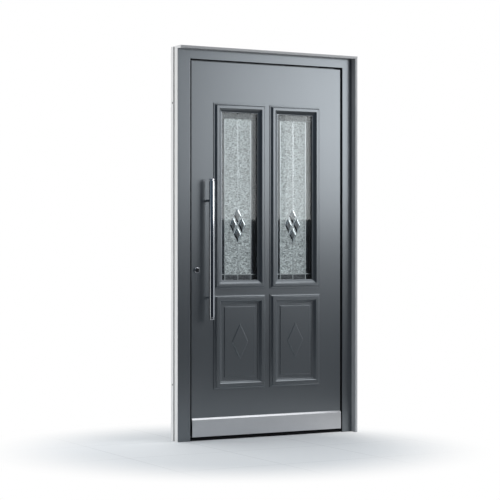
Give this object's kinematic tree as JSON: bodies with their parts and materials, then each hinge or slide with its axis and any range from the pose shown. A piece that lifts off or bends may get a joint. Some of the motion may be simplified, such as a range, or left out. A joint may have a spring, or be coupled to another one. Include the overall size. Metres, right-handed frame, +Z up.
{
  "type": "front door with frame",
  "caption": "Framed front door: panelled inward-opening leaf with leaded windows, a long vertical pull bar, an inside lever, a mortise lock and a kick plate.",
  "frame": {"origin": "underside of the threshold, at the middle of the frame's width and depth", "axes": "+X to the right seen from outside, +Y from outside to inside, +Z up"},
  "size_m": [1.1, 0.2105, 2.1],
  "materials": {
    "frame_paint": "satin anthracite powder coat",
    "casing_paint": "matte light grey powder coat",
    "leaf_paint": "satin anthracite powder coat",
    "threshold_metal": "dark anodised",
    "kick_plate_metal": "brushed",
    "isolator_plastic": "matte",
    "seal_rubber": "matte",
    "core_foam": "foamed",
    "clear_glass": "clear",
    "ornament_glass": "textured",
    "bevel_glass": "bevelled and polished",
    "came_metal": "satin",
    "spacer_metal": "matte",
    "polished_steel": "polished",
    "satin_steel": "satin",
    "lock_steel": "nickel plated"
  },
  "bodies": {
    "frame": {"left_jamb_outer": "frame_paint", "right_jamb_outer": "frame_paint", "head_outer": "frame_paint", "left_jamb_inner": "frame_paint", "right_jamb_inner": "frame_paint", "head_inner": "frame_paint", "frame_isolators": "isolator_plastic", "casing_right": "casing_paint", "casing_head": "casing_paint", "threshold": "threshold_metal", "frame_gasket": "seal_rubber", "strike_plate": "lock_steel", "hinge_frame_halves": "satin_steel", "hinge_pins": "satin_steel"},
    "leaf": {"lock_stile": "leaf_paint", "hinge_stile": "leaf_paint", "top_rail": "leaf_paint", "bottom_rail": "leaf_paint", "outer_skin": "leaf_paint", "inner_skin": "leaf_paint", "foam_core": "core_foam", "left_outer_pane": "clear_glass", "left_ornament_pane": "ornament_glass", "left_inner_pane": "clear_glass", "left_came_grid": "came_metal", "left_bevel_diamonds": "bevel_glass", "left_outer_moulding": "leaf_paint", "left_inner_moulding": "leaf_paint", "left_cassette_moulding": "leaf_paint", "left_cassette_panel": "leaf_paint", "right_outer_pane": "clear_glass", "right_ornament_pane": "ornament_glass", "right_inner_pane": "clear_glass", "right_came_grid": "came_metal", "right_bevel_diamonds": "bevel_glass", "right_outer_moulding": "leaf_paint", "right_inner_moulding": "leaf_paint", "right_cassette_moulding": "leaf_paint", "right_cassette_panel": "leaf_paint", "glass_spacers": "spacer_metal", "glazing_gaskets": "seal_rubber", "kick_plate": "kick_plate_metal", "bottom_seal": "seal_rubber", "handle_bar": "polished_steel", "handle_posts": "polished_steel", "handle_end_caps": "polished_steel", "hinge_leaf_halves": "satin_steel", "cylinder_rosette": "polished_steel", "cylinder_body": "lock_steel", "inner_backplate": "satin_steel", "lock_case": "lock_steel", "faceplate": "lock_steel"},
    "lever": {"lever_handle": "satin_steel", "lever_spindle": "lock_steel"},
    "latch": {"latch_bolt": "lock_steel"},
    "plug": {"key_plug": "lock_steel"},
    "bolt": {"deadbolt": "lock_steel"},
    "keeper": {"day_latch": "lock_steel"}
  },
  "joints": [
    {"name": "leaf_swing", "type": "hinge", "parent": "frame", "child": "leaf", "pos_m": [0.491, 0.051, 1.02], "axis": [0, 0, -1], "range_deg": [0, 100]},
    {"name": "lever_turn", "type": "hinge", "parent": "leaf", "child": "lever", "pos_m": [-0.435, 0.045, 1.002], "axis": [0, 1, 0], "range_deg": [0, 40], "stiffness_Nm_per_rad": 2, "springref_deg": -17.19},
    {"name": "latch_slide", "type": "slide", "parent": "leaf", "child": "latch", "axis": [1, 0, 0], "range_m": [0, 0.0092]},
    {"name": "key_turn", "type": "hinge", "parent": "leaf", "child": "plug", "pos_m": [-0.435, 0, 0.91], "axis": [0, -1, 0], "range_deg": [0, 363]},
    {"name": "deadbolt_slide", "type": "slide", "parent": "leaf", "child": "bolt", "axis": [-1, 0, 0], "range_m": [0, 0.02]},
    {"name": "keeper_slide", "type": "slide", "parent": "frame", "child": "keeper", "axis": [0, 0, -1], "range_m": [0, 0.036]}
  ],
  "couplings": [
    {"joint": "latch_slide", "follows": "lever_turn", "m_per_rad": 0.012892},
    {"joint": "key_turn", "follows": "deadbolt_slide", "rad_per_m": 314.16}
  ]
}
